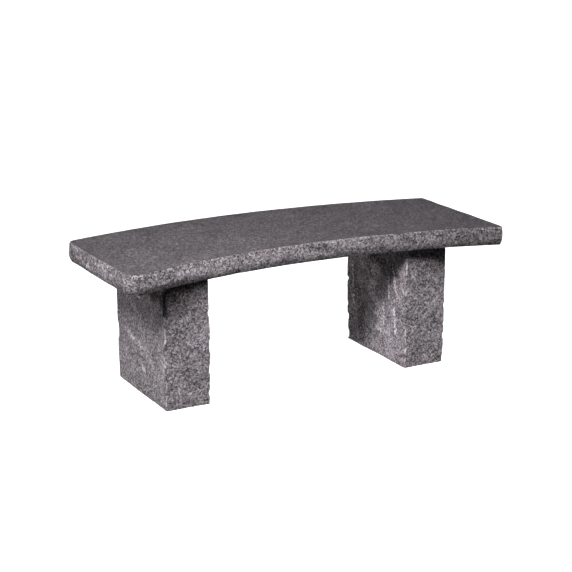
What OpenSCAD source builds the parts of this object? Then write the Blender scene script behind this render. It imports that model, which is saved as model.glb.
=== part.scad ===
// Curved stone garden bench: one arc-shaped seat slab, two block legs, and the pins,
// resin, setting beds and spacers that hold the slab on the legs. Millimetres, +Z up.
// The origin lies on the ground, at the centre of the bench's footprint box.
// The hollow side of the seat's curve faces -Y, which is the front.

/* [Seat] */
// Length of the seat at its widest, across the back corners
seat_length = 1220; // [960:10:1800]
// Depth of the seat from its front edge to its back edge, along a radius of the curve
seat_depth = 430; // [350:5:540]
// Height of the seat's top above the ground
seat_height = 432; // [340:2:560]
// Thickness of the seat slab
seat_thickness = 56; // [42:1:80]
// Radius of the hollow front edge
front_radius = 1860; // [1500:10:3200]
// Angle by which each end face turns in towards the front
end_lean = 0.9; // [0:0.1:4]

/* [Split edges] */
// How far the split edge faces swell past the top and bottom outlines
edge_swell = 4; // [1:0.5:6]
// Height over which an edge face swells out, at its top and again at its bottom
edge_shoulder = 15; // [8:1:19]
// Radius of the worn corner at the front left, seen from above
worn_corner_r = 34; // [10:1:60]
// Radius of the other three corners, seen from above
sharp_corner_r = 8; // [2:1:30]

/* [Legs] */
// Width of each leg, along the length of the bench
leg_width = 135; // [110:5:220]
// Length of seat that passes each leg at the end of the bench
end_overhang = 148; // [60:2:220]
// Least distance from the seat's front edge back to a leg
front_overhang = 31; // [10:1:60]
// Least distance from the seat's back edge in to a leg
back_overhang = 40; // [10:1:70]
// How far the split faces of a leg swell at half its height
leg_swell = 2; // [0.5:0.5:5]
// Width of the chipped-off strip down each upright corner of a leg
leg_arris = 4; // [1:0.5:10]

/* [Pins and setting] */
// Diameter of the steel pins
dowel_d = 12; // [8:1:20]
// Length of a pin inside the leg
dowel_in_leg = 45; // [30:1:90]
// Length of a pin inside the seat
dowel_in_seat = 27; // [15:1:32]
// Distance from a leg's front and back faces in to its pins
dowel_inset = 70; // [40:1:85]
// Thickness of the resin round each pin
resin_gap = 2; // [1:0.5:4]
// Empty space left over the top of a pin in the seat's hole
dowel_end_gap = 3; // [1:1:6]
// Thickness of the joint between leg and seat
bed_thickness = 3; // [1.5:0.5:8]
// How far the setting bed stays back from the leg's faces
bed_inset = 5; // [2:1:10]
// Diameter of the round spacers that hold the joint open
spacer_d = 20; // [12:1:26]
// Distance from the leg's faces in to the middle of a spacer
spacer_inset = 26; // [22:1:34]

/* [Hidden] */

$fn = 96;
LEFT = -1;
RIGHT = 1;
FRONT = -1;
REAR = 1;
// Cutters run this far past the faces that they cut
cut_over = 2;
// Cutters that clear away whatever lies beyond a face are this large
cut_big = 100;
// A corner's arc starts this far outside the edges' ridges, so that it meets them at an angle
arc_proud = 1;

granite = "dimgray";
steel = "silver";
resin = "darkkhaki";
putty = "gray";
plastic = "black";

// The seat's outline in plan, measured from the centre of its curve. The ridge is the
// outermost line of a swollen edge, and the arris is its line on the top face.
back_radius = front_radius + seat_depth;
arris_half_length = seat_length / 2 - edge_swell;
back_corner_angle = asin(arris_half_length / back_radius);
end_distance = back_radius * sin(back_corner_angle - end_lean);
front_corner_angle = end_lean + asin(end_distance / front_radius);
ridge_end_distance = end_distance + edge_swell;
ridge_front_radius = front_radius - edge_swell;
ridge_back_radius = back_radius + edge_swell;
// An end face's slanted bands run on past the slab's top and underside by cut_over
trim_slant = cut_over * edge_swell / edge_shoulder;

// The curve's centre, placed so that the footprint box is centred on the origin
front_reach = ridge_front_radius * cos(front_corner_angle);
arc_y = -(ridge_back_radius + front_reach) / 2;

// Heights
underside_z = seat_height - seat_thickness;
leg_height = underside_z - bed_thickness;
dowel_base_z = leg_height - dowel_in_leg;
dowel_length = dowel_in_leg + bed_thickness + dowel_in_seat;
leg_waist_z = leg_height / 2;

// Legs stand square to the bench, within the seat's curved outline
leg_outer_x = seat_length / 2 - end_overhang;
leg_x = leg_outer_x - leg_width / 2;
leg_inner_x = leg_outer_x - leg_width;
leg_front_y = edge_y(front_radius, leg_inner_x) + front_overhang;
leg_back_y = edge_y(back_radius, leg_outer_x) - back_overhang;
leg_depth = leg_back_y - leg_front_y;
leg_y = (leg_back_y + leg_front_y) / 2;

// Pins, the holes drilled for them, and the places of pins and spacers about a leg's middle
hole_r = dowel_d / 2 + resin_gap;
hole_in_seat = dowel_in_seat + dowel_end_gap;
dowel_y = leg_depth / 2 - dowel_inset;
spacer_x = leg_width / 2 - spacer_inset;
spacer_y = leg_depth / 2 - spacer_inset;

// Y of a circle of the seat's plan at distance x from the middle of the bench
function edge_y(radius, x) = arc_y + sqrt(radius * radius - x * x);

// Angle, at the curve's centre, of a point on a circle at a depth inside the ridge's end line
function corner_angle(radius, inset) = end_lean + asin((ridge_end_distance - inset) / radius);

// Point in plan at a radius and an angle about the curve's centre, with +Y as zero
function plan_point(radius, angle) = [radius * sin(angle), radius * cos(angle)];

// Everything inside is drawn about the curve's centre, for the right or the left half
module about_curve(side) {
    translate([0, arc_y, 0])
        mirror([side == LEFT ? 1 : 0, 0, 0])
            children();
}

// Full ring of the seat's section, with both long edges swollen
module seat_ring() {
    translate([0, arc_y, underside_z])
        rotate_extrude($fn = 360)
            polygon([
                [front_radius, 0],
                [back_radius, 0],
                [ridge_back_radius, edge_shoulder],
                [ridge_back_radius, seat_thickness - edge_shoulder],
                [back_radius, seat_thickness],
                [front_radius, seat_thickness],
                [ridge_front_radius, seat_thickness - edge_shoulder],
                [ridge_front_radius, edge_shoulder]
            ]);
}

// Block that keeps one stretch of the ring: what lies between the two swollen end faces
module end_trim(side) {
    about_curve(side)
        rotate([0, 0, -end_lean])
            translate([end_distance, back_radius + cut_big, underside_z])
                rotate([90, 0, 0])
                    linear_extrude(height = back_radius - front_reach + 2 * cut_big)
                        polygon([
                            [-2 * seat_length, -cut_over],
                            [-trim_slant, -cut_over],
                            [edge_swell, edge_shoulder],
                            [edge_swell, seat_thickness - edge_shoulder],
                            [-trim_slant, seat_thickness + cut_over],
                            [-2 * seat_length, seat_thickness + cut_over]
                        ]);
}

// Cutter that rounds one corner, between the end ridge and a long edge's ridge.
// toward is 1 at the front, where the slab lies outside its edge's circle, and -1 at the back
module corner_cutter(side, ridge_radius, toward, corner_r) {
    inset = corner_r - arc_proud;
    centre_radius = ridge_radius + toward * inset;
    centre_angle = corner_angle(centre_radius, inset);
    centre = plan_point(centre_radius, centre_angle);
    outer_radius = ridge_radius - toward * cut_over;
    outward = [cos(end_lean), -sin(end_lean)];
    about_curve(side)
        translate([0, 0, underside_z - cut_over])
            linear_extrude(height = seat_thickness + 2 * cut_over)
                difference() {
                    polygon([
                        centre,
                        plan_point(outer_radius, centre_angle),
                        plan_point(outer_radius, corner_angle(outer_radius, -cut_over)),
                        centre + (corner_r + cut_over) * outward
                    ]);
                    translate(centre)
                        circle(r = corner_r);
                }
}

// Moves what it draws to the axis of one pin
module pin_place(side, end) {
    translate([side * leg_x, leg_y + end * dowel_y, 0])
        children();
}

module seat() {
    color(granite)
        difference() {
            intersection() {
                seat_ring();
                end_trim(LEFT);
                end_trim(RIGHT);
            }
            corner_cutter(LEFT, ridge_front_radius, 1, worn_corner_r);
            corner_cutter(RIGHT, ridge_front_radius, 1, sharp_corner_r);
            corner_cutter(LEFT, ridge_back_radius, -1, sharp_corner_r);
            corner_cutter(RIGHT, ridge_back_radius, -1, sharp_corner_r);
            for (side = [LEFT, RIGHT], end = [FRONT, REAR])
                pin_place(side, end)
                    translate([0, 0, underside_z - cut_over])
                        cylinder(r = hole_r, h = cut_over + hole_in_seat);
        }
}

// Outline of one pair of a leg's faces, seen level: width across, swollen at half height
module leg_profile(width) {
    polygon([
        [-width / 2, 0],
        [width / 2, 0],
        [width / 2 + leg_swell, leg_waist_z],
        [width / 2, leg_height],
        [-width / 2, leg_height],
        [-width / 2 - leg_swell, leg_waist_z]
    ]);
}

// A leg seen from above at its fullest, with its upright corners chipped off
module leg_plan() {
    x = leg_width / 2 + leg_swell;
    y = leg_depth / 2 + leg_swell;
    c = leg_arris + leg_swell;
    polygon([
        [x - c, -y], [x, c - y],
        [x, y - c], [x - c, y],
        [c - x, y], [-x, y - c],
        [-x, c - y], [c - x, -y]
    ]);
}

module leg(side) {
    color(granite)
        difference() {
            translate([side * leg_x, leg_y, 0])
                intersection() {
                    rotate([90, 0, 0])
                        linear_extrude(height = leg_depth + cut_big, center = true)
                            leg_profile(leg_width);
                    rotate([90, 0, 90])
                        linear_extrude(height = leg_width + cut_big, center = true)
                            leg_profile(leg_depth);
                    linear_extrude(height = leg_height)
                        leg_plan();
                }
            for (end = [FRONT, REAR])
                pin_place(side, end)
                    translate([0, 0, dowel_base_z])
                        cylinder(r = hole_r, h = dowel_in_leg + cut_over);
        }
}

module dowel(side, end) {
    color(steel)
        pin_place(side, end)
            translate([0, 0, dowel_base_z])
                cylinder(d = dowel_d, h = dowel_length);
}

// Cured resin round one pin, filling the drilled holes as high as the pin's top
module resin_sleeve(side, end) {
    color(resin)
        pin_place(side, end)
            translate([0, 0, dowel_base_z])
                difference() {
                    cylinder(r = hole_r, h = dowel_length);
                    translate([0, 0, -cut_over])
                        cylinder(d = dowel_d, h = dowel_length + 2 * cut_over);
                }
}

// The four spacers of one leg, or the holes that they leave in its bed
module spacer_discs(side, z, height) {
    for (x = [-spacer_x, spacer_x], y = [-spacer_y, spacer_y])
        translate([side * leg_x + x, leg_y + y, z])
            cylinder(d = spacer_d, h = height);
}

module setting_bed(side) {
    color(putty)
        difference() {
            translate([side * leg_x, leg_y, leg_height + bed_thickness / 2])
                cube([leg_width - 2 * bed_inset, leg_depth - 2 * bed_inset, bed_thickness], center = true);
            for (end = [FRONT, REAR])
                pin_place(side, end)
                    translate([0, 0, leg_height - cut_over])
                        cylinder(r = hole_r, h = bed_thickness + 2 * cut_over);
            spacer_discs(side, leg_height - cut_over, bed_thickness + 2 * cut_over);
        }
}

module spacers(side) {
    color(plastic)
        spacer_discs(side, leg_height, bed_thickness);
}

seat();  // seat_slab
leg(LEFT);  // left_leg
leg(RIGHT);  // right_leg
dowel(LEFT, FRONT);  // left_front_dowel
dowel(LEFT, REAR);  // left_rear_dowel
dowel(RIGHT, FRONT);  // right_front_dowel
dowel(RIGHT, REAR);  // right_rear_dowel
resin_sleeve(LEFT, FRONT);  // left_front_resin
resin_sleeve(LEFT, REAR);  // left_rear_resin
resin_sleeve(RIGHT, FRONT);  // right_front_resin
resin_sleeve(RIGHT, REAR);  // right_rear_resin
setting_bed(LEFT);  // left_setting_bed
setting_bed(RIGHT);  // right_setting_bed
spacers(LEFT);  // left_spacers
spacers(RIGHT);  // right_spacers
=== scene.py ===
"""Looks of a curved granite garden bench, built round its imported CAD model.

Three stones make the bench: an arc-shaped seat slab with a ground top and rock-pitched edges, and
two block legs split on every upright face. Each stone is first made as a plain drum of quads,
which is then laid over the stone's own outline and given the relief that a split leaves. The pins
that hold the slab, the resin round them, the setting beds and the spacers are dressed as well,
though little of them shows. Everything is in metres, in the CAD model's frame.
"""

import logging
import math
from dataclasses import dataclass, field
from enum import Enum
from typing import Callable, Sequence, Union

import bmesh
import bpy
from mathutils import Matrix, Vector, noise


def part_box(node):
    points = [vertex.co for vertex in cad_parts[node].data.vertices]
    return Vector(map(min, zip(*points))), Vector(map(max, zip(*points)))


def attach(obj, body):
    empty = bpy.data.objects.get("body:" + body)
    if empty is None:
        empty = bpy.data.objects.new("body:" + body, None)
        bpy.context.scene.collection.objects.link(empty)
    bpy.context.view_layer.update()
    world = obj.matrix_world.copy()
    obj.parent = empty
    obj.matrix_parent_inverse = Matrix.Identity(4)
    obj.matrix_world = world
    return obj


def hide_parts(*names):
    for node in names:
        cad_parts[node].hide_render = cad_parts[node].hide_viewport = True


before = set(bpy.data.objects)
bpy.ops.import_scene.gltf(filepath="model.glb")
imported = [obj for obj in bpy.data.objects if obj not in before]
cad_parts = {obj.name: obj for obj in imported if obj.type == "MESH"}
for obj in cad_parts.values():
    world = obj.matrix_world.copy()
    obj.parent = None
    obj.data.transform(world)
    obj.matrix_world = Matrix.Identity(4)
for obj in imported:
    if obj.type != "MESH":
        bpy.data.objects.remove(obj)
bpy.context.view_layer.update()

log = logging.getLogger("bench")

BODY = "root"
MM = 0.001

# The vector noise starts from the clock unless it is given a seed.
NOISE_SEED = 11

WHITE = (1.0, 1.0, 1.0, 1.0)
BLACK = (0.0, 0.0, 0.0, 1.0)

# Least upward or downward part of the normal of a face that counts as level.
LEVEL = 0.98

# Angle in radians between two faces past which their shared edge is shaded sharp.
SHARP_ANGLE = 0.6

Triple = tuple[float, float, float]
Colour = Triple
Span = tuple[float, float]
Edges = list[bmesh.types.BMEdge]
Socket = bpy.types.NodeSocket
Feed = Union[Socket, float, tuple[float, ...]]


class Side(Enum):
    """End of the bench that a leg stands at, as the CAD nodes name it."""

    LEFT = "left"
    RIGHT = "right"


class PinPlace(Enum):
    """One of the two pins of a leg, as the CAD nodes name it."""

    FRONT = "front"
    REAR = "rear"


class PinPart(Enum):
    """What belongs to one pin, as the CAD nodes and the pieces name it."""

    DOWEL = "dowel"
    RESIN = "resin"
    PIN = "pin"


class Maths(Enum):
    """Operation of a Math node."""

    ADD = "ADD"
    SUBTRACT = "SUBTRACT"
    MULTIPLY = "MULTIPLY"
    MULTIPLY_ADD = "MULTIPLY_ADD"


class Blend(Enum):
    """How a Mix node joins two colours."""

    MIX = "MIX"
    MULTIPLY = "MULTIPLY"


class Rays(Enum):
    """Kind of ray that an object can be hidden from, as the object's own switch for it."""

    DIFFUSE = "visible_diffuse"
    GLOSSY = "visible_glossy"
    TRANSMISSION = "visible_transmission"
    SHADOW = "visible_shadow"


class Cap(Enum):
    """One of the two level faces of an upright body."""

    BOTTOM = 0
    TOP = 1

    @property
    def opposite(self) -> "Cap":
        """The body's other level face."""
        return Cap.TOP if self is Cap.BOTTOM else Cap.BOTTOM


def smooth_step(low: float, high: float, value: float) -> float:
    """Eases from 0 to 1 as value goes from low to high.

    Args:
        low: Value at which the step starts.
        high: Value at which it is complete.
        value: Value to place between them.

    Returns:
        A share from 0 to 1, level at both ends.
    """
    share = min(max((value - low) / (high - low), 0.0), 1.0)
    return share * share * (3.0 - 2.0 * share)


# ---------------------------------------------------------------- finishes


@dataclass(frozen=True)
class Grains:
    """Mineral grains of a stone: a value and a hue for each grain, and the distance from its middle."""

    value: Socket
    hue: Socket
    distance: Socket


class Shader:
    """One material under construction, with short calls that add and join its nodes."""

    # Sockets of a Mix node that mixes colours.
    MIX_SHARE, MIX_FIRST, MIX_SECOND, MIX_RESULT = 0, 6, 7, 2

    def __init__(self, name: str) -> None:
        """Starts an empty node material.

        Args:
            name: Name of the material.
        """
        self.material = bpy.data.materials.new(name)
        self.material.use_nodes = True
        self.tree = self.material.node_tree
        self.tree.nodes.clear()
        output = self.tree.nodes.new("ShaderNodeOutputMaterial")
        self.surface = self.tree.nodes.new("ShaderNodeBsdfPrincipled")
        self.feed(output.inputs["Surface"], self.surface.outputs["BSDF"])
        self.place = self.add("ShaderNodeTexCoord").outputs["Object"]

    def add(self, kind: str, **values: object) -> bpy.types.Node:
        """Adds a node and sets its properties.

        Args:
            kind: Blender's name of the node type.
            values: Properties of the node, by name.

        Returns:
            The new node.
        """
        node = self.tree.nodes.new(kind)
        for name, value in values.items():
            setattr(node, name, value)
        return node

    def feed(self, socket: Socket, value: Feed) -> None:
        """Gives an input socket a link or a plain value.

        Args:
            socket: The input to set.
            value: An output socket, a number or a tuple.
        """
        if isinstance(value, Socket):
            self.tree.links.new(value, socket)
        else:
            socket.default_value = value

    def maths(self, operation: Maths, *inputs: Feed, clamp: bool = False) -> Socket:
        """Adds a Math node.

        Args:
            operation: The node's operation.
            inputs: What its inputs take, in order.
            clamp: Whether the result is kept from 0 to 1.

        Returns:
            The node's output.
        """
        node = self.add("ShaderNodeMath", operation=operation.value, use_clamp=clamp)
        for socket, value in zip(node.inputs, inputs):
            self.feed(socket, value)
        return node.outputs[0]

    def swung(self, value: Socket, gain: float, base: Feed) -> Socket:
        """A value times a gain, on top of a base."""
        return self.maths(Maths.MULTIPLY_ADD, value, gain, base)

    def stretched(self, scale: Triple) -> Socket:
        """Object coordinates scaled on each axis.

        Args:
            scale: Factors for X, Y and Z.

        Returns:
            The scaled coordinates.
        """
        node = self.add("ShaderNodeMapping")
        self.feed(node.inputs["Vector"], self.place)
        self.feed(node.inputs["Scale"], scale)
        return node.outputs["Vector"]

    def warped(self, size: float, reach: float) -> Socket:
        """Object coordinates shaken by noise, so that grains don't show straight borders.

        The noise lies from 0 to 1, so it is centred and doubled before it shakes a point.

        Args:
            size: Size of the shake's pattern, in metres.
            reach: How far it shakes a point, in metres.

        Returns:
            The shaken coordinates.
        """
        shake = self.add("ShaderNodeTexNoise")
        self.feed(shake.inputs["Vector"], self.place)
        self.feed(shake.inputs["Scale"], 1.0 / size)
        self.feed(shake.inputs["Detail"], 2.0)
        centred = self.add("ShaderNodeVectorMath", operation="SUBTRACT")
        self.feed(centred.inputs[0], shake.outputs["Color"])
        self.feed(centred.inputs[1], (0.5, 0.5, 0.5))
        scaled = self.add("ShaderNodeVectorMath", operation="SCALE")
        self.feed(scaled.inputs[0], centred.outputs[0])
        self.feed(scaled.inputs["Scale"], 2.0 * reach)
        moved = self.add("ShaderNodeVectorMath", operation="ADD")
        self.feed(moved.inputs[0], self.place)
        self.feed(moved.inputs[1], scaled.outputs[0])
        return moved.outputs[0]

    def noise(self, vector: Socket, scale: float, detail: float = 3.0, rough: float = 0.55) -> Socket:
        """Adds a noise texture.

        Args:
            vector: Coordinates that it reads.
            scale: Patterns to a metre.
            detail: Number of finer layers.
            rough: How strong the finer layers are.

        Returns:
            The noise's value.
        """
        node = self.add("ShaderNodeTexNoise")
        self.feed(node.inputs["Vector"], vector)
        self.feed(node.inputs["Scale"], scale)
        self.feed(node.inputs["Detail"], detail)
        self.feed(node.inputs["Roughness"], rough)
        return node.outputs["Fac"]

    def grains(self, vector: Socket, size: float) -> Grains:
        """Adds a Voronoi texture, whose cells are mineral grains.

        Args:
            vector: Coordinates that it reads.
            size: Width of a grain, in metres.

        Returns:
            What differs from grain to grain.
        """
        node = self.add("ShaderNodeTexVoronoi")
        self.feed(node.inputs["Vector"], vector)
        self.feed(node.inputs["Scale"], 1.0 / size)
        split = self.add("ShaderNodeSeparateColor")
        self.feed(split.inputs[0], node.outputs["Color"])
        return Grains(split.outputs[0], split.outputs[1], node.outputs["Distance"])

    def ramp(self, value: Socket, stops: Sequence[tuple[float, Colour]]) -> Socket:
        """Adds a colour ramp.

        Args:
            value: What the ramp reads.
            stops: Places from 0 to 1 with their colours.

        Returns:
            The ramp's colour.
        """
        node = self.add("ShaderNodeValToRGB")
        self.feed(node.inputs["Fac"], value)
        elements = node.color_ramp.elements
        while len(elements) < len(stops):
            elements.new(1.0)
        for element, (place, colour) in zip(elements, stops):
            element.position = place
            element.color = (*colour, 1.0)
        return node.outputs["Color"]

    def mixed(self, share: Feed, first: Feed, second: Feed, blend: Blend = Blend.MIX) -> Socket:
        """Mixes two colours.

        Args:
            share: Share of the second, a socket or a number.
            first: First colour, a socket or a tuple of four.
            second: Second colour, a socket or a tuple of four.
            blend: How they are joined.

        Returns:
            The mixed colour.
        """
        node = self.add("ShaderNodeMix", data_type="RGBA", blend_type=blend.value)
        self.feed(node.inputs[self.MIX_SHARE], share)
        self.feed(node.inputs[self.MIX_FIRST], first)
        self.feed(node.inputs[self.MIX_SECOND], second)
        return node.outputs[self.MIX_RESULT]

    def attribute(self, name: str) -> Socket:
        """Value of a mesh attribute that follows the surface."""
        return self.add("ShaderNodeAttribute", attribute_name=name).outputs["Fac"]

    def glow(self, strength: float) -> None:
        """Makes the surface give off white light of its own."""
        self.feed(self.surface.inputs["Emission Color"], WHITE)
        self.feed(self.surface.inputs["Emission Strength"], strength)

    def finish(self, colour: Feed, roughness: Feed, height: Socket, depth: float) -> bpy.types.Material:
        """Joins a colour, a roughness and a fine relief to the surface.

        Args:
            colour: Base colour.
            roughness: Roughness.
            height: Relief from 0 to 1.
            depth: Depth of that relief, in metres.

        Returns:
            The finished material.
        """
        self.feed(self.surface.inputs["Base Color"], colour)
        self.feed(self.surface.inputs["Roughness"], roughness)
        bump = self.add("ShaderNodeBump")
        self.feed(bump.inputs["Strength"], 1.0)
        self.feed(bump.inputs["Distance"], depth)
        self.feed(bump.inputs["Height"], height)
        self.feed(self.surface.inputs["Normal"], bump.outputs["Normal"])
        return self.material


def toned(colour: Colour, gain: float) -> Colour:
    """A colour made lighter or darker by a gain."""
    return tuple(gain * value for value in colour)


@dataclass(frozen=True)
class Granite:
    """Dark speckled granite under one finish of the stone yard.

    The minerals are places in the mix of coarse and fine grains, from dark biotite to white
    feldspar, each with its steps of contrast from the stone's middle tone. The casts tint single
    grains from warm to cool. Sizes that are shares are shares of a grain's width.
    """

    name: str
    tone: float
    contrast: float
    grain: float
    relief: float
    roughness: float
    # Strength of the mesh's light tone, crushing with some painted highlights, and of its dark tone, painted
    # shade.
    bruise_and_highlight_gain: float = 0.0
    hollow_gain: float = 0.0
    tint: Colour = (1.0, 0.902, 0.967)
    minerals: tuple[Span, ...] = (
        (0.12, -2.0), (0.26, -1.1), (0.40, -0.25), (0.62, 0.25), (0.78, 0.8), (0.92, 1.35),
    )
    casts: tuple[tuple[float, Colour], ...] = (
        (0.0, (1.06, 0.95, 0.97)), (0.5, (1.0, 1.0, 1.0)), (1.0, (0.94, 1.02, 1.03)),
    )
    cast_share: float = 0.8
    warp_size: float = 1.2
    warp_reach: float = 0.5
    fine_size: float = 0.45
    coarse_weight: float = 0.66
    fine_weight: float = 0.34
    drift_scale: float = 9.0
    drift_gain: float = 0.7
    drift_base: float = 0.65
    bruise_and_highlight_steps: float = 1.5
    speck_gain: float = 1.3
    speck_base: float = 0.35
    hollow_steps: float = -1.9
    roughness_swing: float = 0.16
    pit_size: float = 0.6
    coarse_height: float = 0.5
    border_depth: float = 0.35
    specular: float = 0.25

    def shade(self, steps: float) -> Colour:
        """Colour of a mineral that lies some steps of contrast above the stone's middle tone."""
        return toned(self.tint, self.tone * math.exp(self.contrast * steps))

    def material(self) -> bpy.types.Material:
        """Builds the stone: coarse and fine grains, slow drifts of tone, crushing with painted highlights,
        and painted shade in recesses and marks.

        Returns:
            The finished material.
        """
        shader = Shader(self.name)
        vector = shader.warped(self.grain * self.warp_size, self.grain * self.warp_reach)
        coarse = shader.grains(vector, self.grain)
        fine = shader.grains(vector, self.grain * self.fine_size)
        specks = shader.maths(Maths.MULTIPLY, fine.value, self.fine_weight)
        blend = shader.swung(coarse.value, self.coarse_weight, specks)
        colour = shader.ramp(blend, [(place, self.shade(steps)) for place, steps in self.minerals])
        cast = shader.ramp(coarse.hue, self.casts)
        colour = shader.mixed(self.cast_share, colour, cast, Blend.MULTIPLY)
        cloud = shader.noise(shader.place, self.drift_scale, detail=5.0, rough=0.6)
        drift = shader.swung(cloud, self.drift_gain, self.drift_base)
        colour = shader.mixed(1.0, colour, drift, Blend.MULTIPLY)
        # Light from the mesh: crushing, with painted highlights and painted light.
        if self.bruise_and_highlight_gain:
            colour = self._bruised_and_highlit(shader, colour, fine)
        # Painted shade from the mesh: low spots of the relief and the dark marks.
        if self.hollow_gain:
            hollow = shader.maths(Maths.MULTIPLY, shader.attribute("hollow"), self.hollow_gain, clamp=True)
            colour = shader.mixed(hollow, colour, (*self.shade(self.hollow_steps), 1.0))
        least_rough = self.roughness - self.roughness_swing / 2
        roughness = shader.swung(coarse.value, self.roughness_swing, least_rough)
        pits = shader.noise(shader.place, 1.0 / (self.grain * self.pit_size), detail=3.0, rough=0.65)
        borders = shader.maths(Maths.MULTIPLY, fine.distance, self.border_depth)
        height = shader.maths(Maths.SUBTRACT, shader.swung(coarse.value, self.coarse_height, pits), borders)
        shader.feed(shader.surface.inputs["Specular IOR Level"], self.specular)
        return shader.finish(colour, roughness, height, self.relief)

    def _bruised_and_highlit(self, shader: Shader, colour: Socket, fine: Grains) -> Socket:
        """Whitens the stone where its mesh marks crushing by a tool or a knock, and where it paints
        highlights and light.

        Args:
            shader: The material under construction.
            colour: The stone's colour so far.
            fine: Its fine grains, which the whitening picks out.

        Returns:
            The colour with the crushing and the painted highlights on it.
        """
        bruise_and_highlight = shader.maths(Maths.MULTIPLY, shader.attribute("bruise_and_highlight"), self.bruise_and_highlight_gain)
        speck = shader.swung(fine.value, self.speck_gain, self.speck_base)
        share = shader.maths(Maths.MULTIPLY, bruise_and_highlight, speck, clamp=True)
        return shader.mixed(share, colour, (*self.shade(self.bruise_and_highlight_steps), 1.0))


@dataclass(frozen=True)
class Putty:
    """Dull setting compound, squeezed out and weathered."""

    name: str = "setting_compound"
    colour: Colour = (0.075, 0.073, 0.072)
    light_gain: float = 2.1
    sand_size: float = 1.2 * MM
    sand_height: float = 0.4
    dust_scale: float = 35.0
    dust_share: float = 0.35
    roughness: float = 0.72
    roughness_swing: float = 0.2
    relief: float = 0.6 * MM

    def material(self) -> bpy.types.Material:
        """Builds the compound with sand in it and dust on it.

        Returns:
            The finished material.
        """
        shader = Shader(self.name)
        sand = shader.grains(shader.place, self.sand_size)
        light = toned(self.colour, self.light_gain)
        body = shader.ramp(sand.value, ((0.0, self.colour), (0.8, self.colour), (1.0, light)))
        dust = shader.noise(shader.place, self.dust_scale, detail=4.0)
        colour = shader.mixed(shader.maths(Maths.MULTIPLY, dust, self.dust_share), body, (*light, 1.0))
        roughness = shader.swung(dust, self.roughness_swing, self.roughness)
        height = shader.maths(Maths.ADD, dust, shader.maths(Maths.MULTIPLY, sand.distance, self.sand_height))
        return shader.finish(colour, roughness, height, self.relief)


@dataclass(frozen=True)
class PinSteel:
    """Stainless ribbed bar with drawing marks along it."""

    name: str = "pin_steel"
    colour: Colour = (0.56, 0.57, 0.58)
    mark_scale: Triple = (2600.0, 2600.0, 40.0)
    film_scale: float = 180.0
    film_share: float = 0.6
    film_gain: float = 0.55
    roughness: float = 0.24
    roughness_swing: float = 0.25
    relief: float = 0.05 * MM

    def material(self) -> bpy.types.Material:
        """Builds the steel with fine marks along the bar and a film from the resin.

        Returns:
            The finished material.
        """
        shader = Shader(self.name)
        marks = shader.noise(shader.stretched(self.mark_scale), 1.0, detail=3.0, rough=0.6)
        smear = shader.noise(shader.place, self.film_scale, detail=3.0)
        film = shader.maths(Maths.MULTIPLY, smear, self.film_share)
        colour = shader.mixed(film, (*self.colour, 1.0), (*toned(self.colour, self.film_gain), 1.0))
        roughness = shader.swung(marks, self.roughness_swing, self.roughness)
        shader.feed(shader.surface.inputs["Metallic"], 1.0)
        return shader.finish(colour, roughness, marks, self.relief)


@dataclass(frozen=True)
class AnchorResin:
    """Cured anchoring resin, dark amber with filler and small bubbles."""

    name: str = "anchor_resin"
    colour: Colour = (0.30, 0.27, 0.20)
    dark_gain: float = 0.6
    cloud_scale: float = 120.0
    bubble_size: float = 1.6 * MM
    bubble_warp: Span = (4 * MM, 0.6 * MM)
    roughness: float = 0.32
    roughness_swing: float = 0.2
    relief: float = 0.2 * MM

    def material(self) -> bpy.types.Material:
        """Builds the resin.

        Returns:
            The finished material.
        """
        shader = Shader(self.name)
        bubbles = shader.grains(shader.warped(*self.bubble_warp), self.bubble_size)
        cloud = shader.noise(shader.place, self.cloud_scale, detail=4.0)
        colour = shader.ramp(cloud, ((0.3, toned(self.colour, self.dark_gain)), (0.7, self.colour)))
        roughness = shader.swung(bubbles.value, self.roughness_swing, self.roughness)
        return shader.finish(colour, roughness, bubbles.distance, self.relief)


@dataclass(frozen=True)
class SpacerPlastic:
    """Black moulded plastic of the setting spacers."""

    name: str = "spacer_plastic"
    colour: Colour = (0.028, 0.028, 0.03)
    scuff_gain: float = 4.0
    scuff_scale: Triple = (90.0, 420.0, 420.0)
    grain_scale: float = 2400.0
    roughness: float = 0.4
    roughness_swing: float = 0.25
    relief: float = 0.05 * MM

    def material(self) -> bpy.types.Material:
        """Builds the plastic with a moulded grain and pale scuffs.

        Returns:
            The finished material.
        """
        shader = Shader(self.name)
        scuff = shader.noise(shader.stretched(self.scuff_scale), 1.0, detail=5.0, rough=0.7)
        colour = shader.ramp(scuff, ((0.45, self.colour), (0.75, toned(self.colour, self.scuff_gain))))
        roughness = shader.swung(scuff, self.roughness_swing, self.roughness)
        grain = shader.noise(shader.place, self.grain_scale, detail=2.0)
        return shader.finish(colour, roughness, grain, self.relief)


# ---------------------------------------------------------------- split stone


@dataclass(frozen=True)
class Drift:
    """Slow change along a stone: noise from about -1 to 1 whose patterns have one size."""

    size: float
    start: Triple = (0.0, 0.0, 0.0)

    def at(self, point: Vector) -> float:
        """Value of the drift at a point."""
        return noise.noise(point / self.size + Vector(self.start))


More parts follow.
